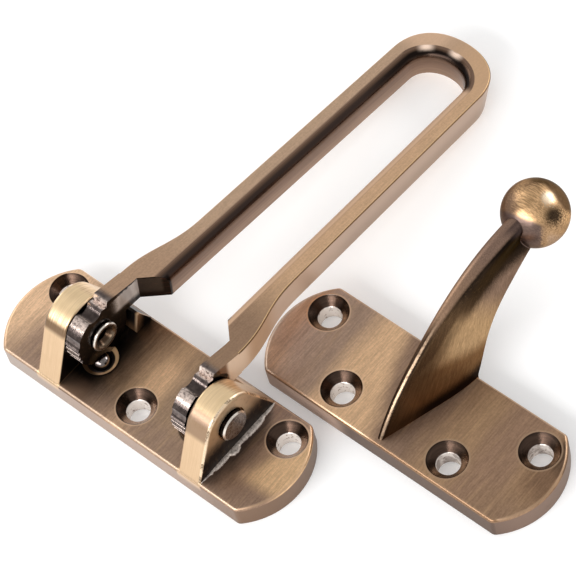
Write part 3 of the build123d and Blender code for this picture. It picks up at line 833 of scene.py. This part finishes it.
def ball_steel():
    f = Finish("ball_steel")
    film = f.noise((0.5, 0.5, 0.5), detail=3.0, shift=2.0)
    colour = f.mix(f.fade(film, 0.35, 0.65), srgb(92, 84, 82), srgb(150, 142, 138))
    scuff = f.noise((5.0, 0.8, 5.0), detail=3.0, shift=6.0)
    f.bump(scuff, 0.004)
    return f.done(colour, f.scale(scuff, 0.08, 0.2))


def spring_steel():
    f = Finish("spring_steel")
    drawn = f.noise((3.0, 3.0, 0.6), detail=3.0)
    f.bump(drawn, 0.01)
    return f.done(f.mix(drawn, srgb(132, 128, 124), srgb(176, 172, 168)), f.scale(drawn, 0.25, 0.4))


def bead_metal():
    f = Finish("bead_metal", metallic=0.6)
    grit = f.noise((1.6, 1.6, 1.6), detail=4.0, rough=0.65)
    colour = f.mix(f.fade(grit, 0.3, 0.62), srgb(134, 122, 115), srgb(198, 186, 176))
    f.bump(grit, 0.06)
    return f.done(colour, f.scale(grit, 0.3, 0.5))


# The smeared bead at the foot of the right lug: place along Y and width, in millimetres
BEAD = ((-11.6, 0.15), (-10.2, 0.3), (-9.2, 0.4), (-8.7, 0.66), (-8.1, 0.45), (-7.3, 0.85), (-5.0, 1.0),
        (-3.4, 0.85), (-2.4, 1.5), (-1.5, 1.75), (-0.7, 1.4), (0.1, 0.9), (1.9, 1.05), (3.7, 1.2),
        (5.6, 1.25), (7.2, 1.1), (8.1, 0.66), (9.6, 0.66), (11.0, 0.4), (11.8, 0.12))
BEAD_STEPS = 150
BEAD_HEIGHT = 0.4
BEAD_SINK = 0.12
BEAD_ARC_STEPS = 4
BEAD_FULLNESS = 0.6
BEAD_WIDTH_JITTER = 0.07
BEAD_HEIGHT_JITTER = 0.12
BEAD_SEED = 7


def bead_width(y):
    """The bead's width at a place along Y, eased between the places of the list."""
    for (y0, w0), (y1, w1) in zip(BEAD, BEAD[1:]):
        if y <= y1:
            t = (y - y0) / (y1 - y0)
            return w0 + (w1 - w0) * t * t * (3 - 2 * t)
    return BEAD[-1][1]


def foot_bead():
    """An uneven bead of bare metal in the corner of lug and plate."""
    draw = random.Random(BEAD_SEED)
    mesh = bpy.data.meshes.new("foot_bead")
    work = bmesh.new()
    first, last = BEAD[0][0], BEAD[-1][0]
    loops = []
    for i in range(BEAD_STEPS + 1):
        y = first + (last - first) * i / BEAD_STEPS
        width = bead_width(y) * (1 + BEAD_WIDTH_JITTER * draw.uniform(-1, 1))
        tall = min(width, 1.0) * BEAD_HEIGHT * (1 + BEAD_HEIGHT_JITTER * draw.uniform(-1, 1))
        outline = [(-BEAD_SINK, -BEAD_SINK), (-BEAD_SINK, tall)]
        for k in range(BEAD_ARC_STEPS + 1):
            turn = math.radians(90 - 90 / BEAD_ARC_STEPS * k)
            outline.append((width * math.cos(turn), tall * math.sin(turn) ** BEAD_FULLNESS))
        outline.append((width, -BEAD_SINK))
        loops.append([work.verts.new(((LUG_OUTER_X + a) / 1000, y / 1000, (PLATE_TOP + b) / 1000))
                      for a, b in outline])
    count = len(loops[0])
    for one, two in zip(loops, loops[1:]):
        for k in range(count):
            work.faces.new((one[k], one[(k + 1) % count], two[(k + 1) % count], two[k]))
    work.faces.new(list(reversed(loops[0])))
    work.faces.new(loops[-1])
    bmesh.ops.recalc_face_normals(work, faces=work.faces)
    for face in work.faces:
        face.smooth = True
    work.to_mesh(mesh)
    work.free()
    bead = bpy.data.objects.new("foot_bead", mesh)
    bpy.context.scene.collection.objects.link(bead)
    dress(bead, bead_metal())
    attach(bead, "base")


def dress(obj, material):
    obj.data.materials.clear()
    obj.data.materials.append(material)


def assign():
    dress(nodes["base_plate"], base_brass())
    dress(nodes["strike_plate"], strike_brass())
    dress(nodes["swing_bar"], bar_brass())
    pins, balls, springs = pin_steel(), ball_steel(), spring_steel()
    for side in ("left", "right"):
        dress(nodes["pivot_pin_" + side], pins)
        dress(nodes["detent_ball_" + side], balls)
        dress(nodes["detent_spring_" + side], springs)


def place_camera():
    data = bpy.data.cameras.new("camera")
    data.sensor_width = SENSOR_WIDTH
    data.lens = FOCAL_PIXELS * SENSOR_WIDTH / PICTURE_WIDTH
    data.clip_start = CLIP_START
    data.clip_end = CLIP_END
    camera = bpy.data.objects.new("camera", data)
    bpy.context.scene.collection.objects.link(camera)
    right, down, forward = Vector(CAMERA_RIGHT), Vector(CAMERA_DOWN), Vector(CAMERA_FORWARD)
    turned = Matrix((right, -down, -forward)).transposed().to_4x4()
    camera.matrix_world = Matrix.Translation(CAMERA_PLACE) @ turned
    bpy.context.scene.camera = camera


def lay_floor():
    mesh = bpy.data.meshes.new("floor")
    half = FLOOR_SIZE / 2
    mesh.from_pydata([(-half, -half, 0), (half, -half, 0), (half, half, 0), (-half, half, 0)], [],
                     [(0, 1, 2, 3)])
    floor = bpy.data.objects.new("floor", mesh)
    bpy.context.scene.collection.objects.link(floor)
    floor.location.z = -FLOOR_DROP
    material = bpy.data.materials.new("floor_white")
    material.use_nodes = True
    shader = material.node_tree.nodes["Principled BSDF"]
    shader.inputs["Base Color"].default_value = (FLOOR_COLOUR, FLOOR_COLOUR, FLOOR_COLOUR, 1)
    shader.inputs["Roughness"].default_value = FLOOR_ROUGHNESS
    shader.inputs["Specular IOR Level"].default_value = FLOOR_SPECULAR
    tree = material.node_tree
    rays = tree.nodes.new("ShaderNodeLightPath")
    seen = rays.outputs["Is Camera Ray"]
    for kind in ("Is Glossy Ray", "Is Transmission Ray"):
        either = tree.nodes.new("ShaderNodeMath")
        either.operation = "MAXIMUM"
        tree.links.new(seen, either.inputs[0])
        tree.links.new(rays.outputs[kind], either.inputs[1])
        seen = either.outputs[0]
    lift = tree.nodes.new("ShaderNodeMath")
    lift.operation = "MULTIPLY"
    lift.inputs[1].default_value = FLOOR_LIFT
    tree.links.new(seen, lift.inputs[0])
    tree.links.new(lift.outputs[0], shader.inputs["Emission Strength"])
    shader.inputs["Emission Color"].default_value = (1, 1, 1, 1)
    mesh.materials.append(material)


def hang_lamp(name, place, aim, size, power):
    data = bpy.data.lights.new(name, "AREA")
    data.shape = "RECTANGLE"
    data.size, data.size_y = size
    data.energy = power
    lamp = bpy.data.objects.new(name, data)
    bpy.context.scene.collection.objects.link(lamp)
    lamp.location = place
    lamp.rotation_mode = "QUATERNION"
    lamp.rotation_quaternion = (Vector(aim) - Vector(place)).to_track_quat("-Z", "Y")
    lamp.visible_camera = False


def light():
    """Three soft lamps and a white world, shown without a filmic curve."""
    for lamp in LAMPS:
        hang_lamp(*lamp)
    world = bpy.data.worlds.new("world")
    world.use_nodes = True
    background = world.node_tree.nodes["Background"]
    background.inputs["Color"].default_value = (1, 1, 1, 1)
    background.inputs["Strength"].default_value = WORLD_STRENGTH
    bpy.context.scene.world = world
    bpy.context.scene.view_settings.view_transform = "Standard"


place_camera()
lay_floor()
light()
assign()
foot_bead()
